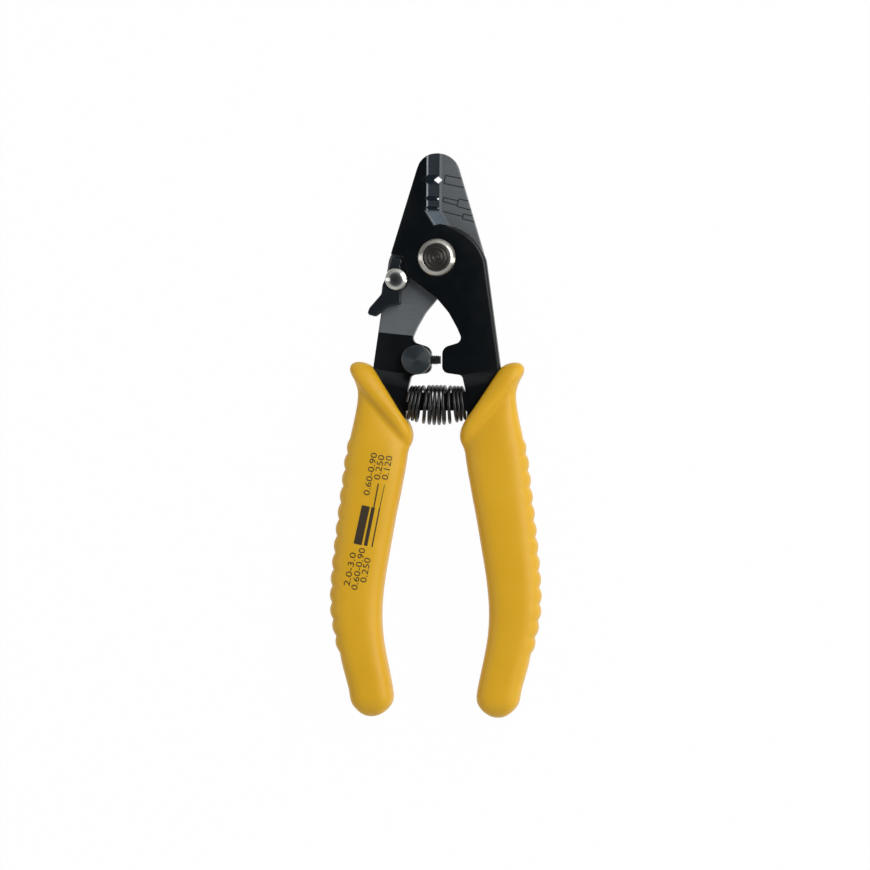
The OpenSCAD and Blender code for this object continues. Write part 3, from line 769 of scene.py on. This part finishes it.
def index_of_outer_y(y):
    """The fractional station whose outer point lies at height y."""
    low, high = 4.0, len(STATIONS) - 2.0
    for _ in range(24):
        middle = (low + high) / 2
        low, high = (middle, high) if station(middle)[1].y > y else (low, middle)
    return low


def ripple(y):
    """How far the outer edge swells at height y: round ribs with narrow valleys."""
    phase = (BUMPS_FROM - y) / BUMP_PITCH
    if not 0 <= phase <= BUMP_COUNT:
        return 0.0
    return BUMP_HEIGHT * abs(math.sin(math.pi * phase)) ** 0.8 - BUMP_HEIGHT / 2


def grip_ring(index):
    """The points of one section, its corners rounded and its outer edge rippled."""
    inner, outer, half = station(index)
    middle, reach = (inner + outer) / 2, (outer - inner) / 2
    ring = []
    for k in range(GRIP_SIDES):
        angle = math.tau * (k + 0.5) / GRIP_SIDES
        across, up = [
            math.copysign(abs(part) ** SECTION_POWER, part) for part in (math.cos(angle), math.sin(angle))
        ]
        spot = middle + reach * across
        swell = ripple(outer.y) * max(0.0, across) ** 4
        ring.append(Vector((spot.x + swell, spot.y, MID_Z + half * up)) * MM)
    return ring


# sections stand close at the ripples, at these parts of each, and further apart elsewhere
RIB_PARTS = (0, 0.09, 0.28, 0.5, 0.72, 0.91)
ripple_phases = [bump + part for bump in range(BUMP_COUNT) for part in RIB_PARTS] + [BUMP_COUNT]
ripple_indexes = [index_of_outer_y(BUMPS_FROM - phase * BUMP_PITCH) for phase in ripple_phases]
first, last = ripple_indexes[0], ripple_indexes[-1]
ring_indexes = [i / 2 for i in range(int(first * 2) + 1) if i / 2 < first - 0.1] + ripple_indexes
ring_indexes += [i / 2 for i in range(int(last * 2), 2 * len(STATIONS) - 1) if i / 2 > last + 0.1]

bpy.ops.mesh.primitive_circle_add(vertices=GRIP_SIDES, radius=8 * MM, fill_type="NGON")
right_grip = bpy.context.object
right_grip.name = "vinyl_grip_right"
bpy.ops.object.mode_set(mode="EDIT")
mesh = bmesh.from_edit_mesh(right_grip.data)
spoke = mesh.verts.layers.int.new("spoke")
mesh.verts.ensure_lookup_table()
for k, vert in enumerate(mesh.faces[:][0].verts):
    vert[spoke] = k
    vert.co = grip_ring(ring_indexes[0])[k]
bmesh.update_edit_mesh(right_grip.data)
bpy.ops.mesh.select_mode(type="FACE")
bpy.ops.mesh.select_all(action="SELECT")
for index in ring_indexes[1:]:
    bpy.ops.mesh.extrude_region_move(TRANSFORM_OT_translate={"value": (0, 0, 0)})
    mesh = bmesh.from_edit_mesh(right_grip.data)
    spoke = mesh.verts.layers.int["spoke"]
    ring = grip_ring(index)
    for vert in mesh.verts:
        if vert.select:
            vert.co = ring[vert[spoke]]
    bmesh.update_edit_mesh(right_grip.data)
bpy.ops.mesh.select_all(action="SELECT")
bpy.ops.mesh.normals_make_consistent(inside=False)
bpy.ops.object.mode_set(mode="OBJECT")
right_grip.data.attributes.remove(right_grip.data.attributes["spoke"])
apply_modifier(right_grip, "SUBSURF", levels=1, render_levels=1)

left_grip = right_grip.copy()
left_grip.data = right_grip.data.copy()
left_grip.name = "vinyl_grip_left"
bpy.context.scene.collection.objects.link(left_grip)
left_grip.data.transform(Matrix.Scale(-1, 4, (1, 0, 0)))
left_grip.data.flip_normals()

# moulded vinyl: warm and matt, deeper in its creases, with a fine skin that spreads the light
vinyl, tree, place = start_material("moulded_yellow_vinyl")
cloud = add(tree, "TexNoise", {"Vector": place, "Scale": 1 / (11 * MM), "Detail": 2})
skin = add(tree, "TexNoise", {"Vector": place, "Scale": 1 / (0.45 * MM), "Detail": 3})
colours = {"Factor": cloud, "A": paint("#dea91a"), "B": paint("#e6b327")}
end_material(tree, {
    "Base Color": add(tree, "Mix", colours, data_type="RGBA"),
    "Normal": add(tree, "Bump", {"Height": skin, "Strength": 0.35, "Distance": 0.008 * MM}),
    "Roughness": 0.42, "Specular IOR Level": 0.35, "Subsurface Weight": 0.25,
    "Subsurface Radius": (2.0 * MM, 1.0 * MM, 0.3 * MM), "Subsurface Scale": 1.0,
})
finish_piece(right_grip, "front_half", vinyl, smooth_angle=70)
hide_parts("right_grip")
finish_piece(left_grip, "rear_half", vinyl, smooth_angle=70)
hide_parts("left_grip")

# ------------------------------------------------------- print on the left grip
# Pad-printed in dark brown ink: two bars and a line that step down like the
# layers of a fibre, with plain numbers at both ends. The right grip is bare.

PRINT_LEVEL = 14 * MM
INK_HEIGHT = 0.03 * MM
DIGIT_HEIGHT = 1.7


def number(text, start, end):
    """Plain numbers that fill the line from start to end, in mm, read along it."""
    bpy.ops.object.text_add()
    letters = bpy.context.object
    letters.data.body = text
    letters.data.resolution_u = 3
    bpy.ops.object.convert(target="MESH")
    letters = bpy.context.object
    bpy.ops.object.mode_set(mode="EDIT")
    bpy.ops.mesh.select_all(action="SELECT")
    bpy.ops.mesh.subdivide(number_cuts=2)
    bpy.ops.object.mode_set(mode="OBJECT")
    xs = [v.co.x for v in letters.data.vertices]
    ys = [v.co.y for v in letters.data.vertices]
    a, b = Vector((*start, 0)) * MM, Vector((*end, 0)) * MM
    along = b - a
    wide, high = max(xs) - min(xs), max(ys) - min(ys)
    fit = Matrix.Diagonal((along.length / wide, DIGIT_HEIGHT * MM / high, 1, 1))
    turn = Matrix.Rotation(math.atan2(along.y, along.x), 4, "Z")
    to_start = Matrix.Translation((-min(xs), -min(ys), 0))
    letters.data.transform(Matrix.Translation(a + Vector((0, 0, PRINT_LEVEL))) @ turn @ fit @ to_start)
    return letters


printed = [
    flat_bar((-20.65, -77.4), (-18.45, -67.05), 2.2 * MM, PRINT_LEVEL, 24),
    flat_bar((-18.5, -77.75), (-16.45, -67.4), 0.95 * MM, PRINT_LEVEL, 16),
    flat_bar((-16.3, -67.4), (-15.1, -61.0), 0.34 * MM, PRINT_LEVEL, 12),
    flat_bar((-16.75, -78.08), (-14.75, -67.65), 0.34 * MM, PRINT_LEVEL, 16),
    flat_bar((-14.75, -67.65), (-13.45, -61.3), 0.17 * MM, PRINT_LEVEL, 12),
    number("0.60-0.90", (-17.55, -64.3), (-15.45, -52.9)),
    number("0.250", (-14.75, -60.1), (-13.45, -53.5)),
    number("0.120", (-12.65, -60.1), (-11.35, -53.7)),
    number("2.0-3.0", (-22.75, -88.7), (-20.95, -79.8)),
    number("0.60-0.90", (-20.7, -89.8), (-18.5, -78.6)),
    number("0.250", (-18.3, -87.8), (-17.0, -81.2)),
]
ink = joined(printed, "grip_print")
apply_modifier(ink, "SHRINKWRAP", wrap_method="PROJECT", target=left_grip, use_project_z=True,
               use_negative_direction=True, use_positive_direction=False, offset=INK_HEIGHT)
# pad ink: matt dark brown, a little thin in places
ink_material, tree, place = start_material("pad_printed_ink")
thin = add(tree, "TexNoise", {"Vector": place, "Scale": 1 / (0.333 * MM), "Detail": 3})
colours = {"Factor": thin, "A": paint("#2b2013"), "B": paint("#3f3018")}
colour = add(tree, "Mix", colours, data_type="RGBA")
end_material(tree, {"Base Color": colour, "Roughness": 0.55})
finish_piece(ink, "rear_half", ink_material)
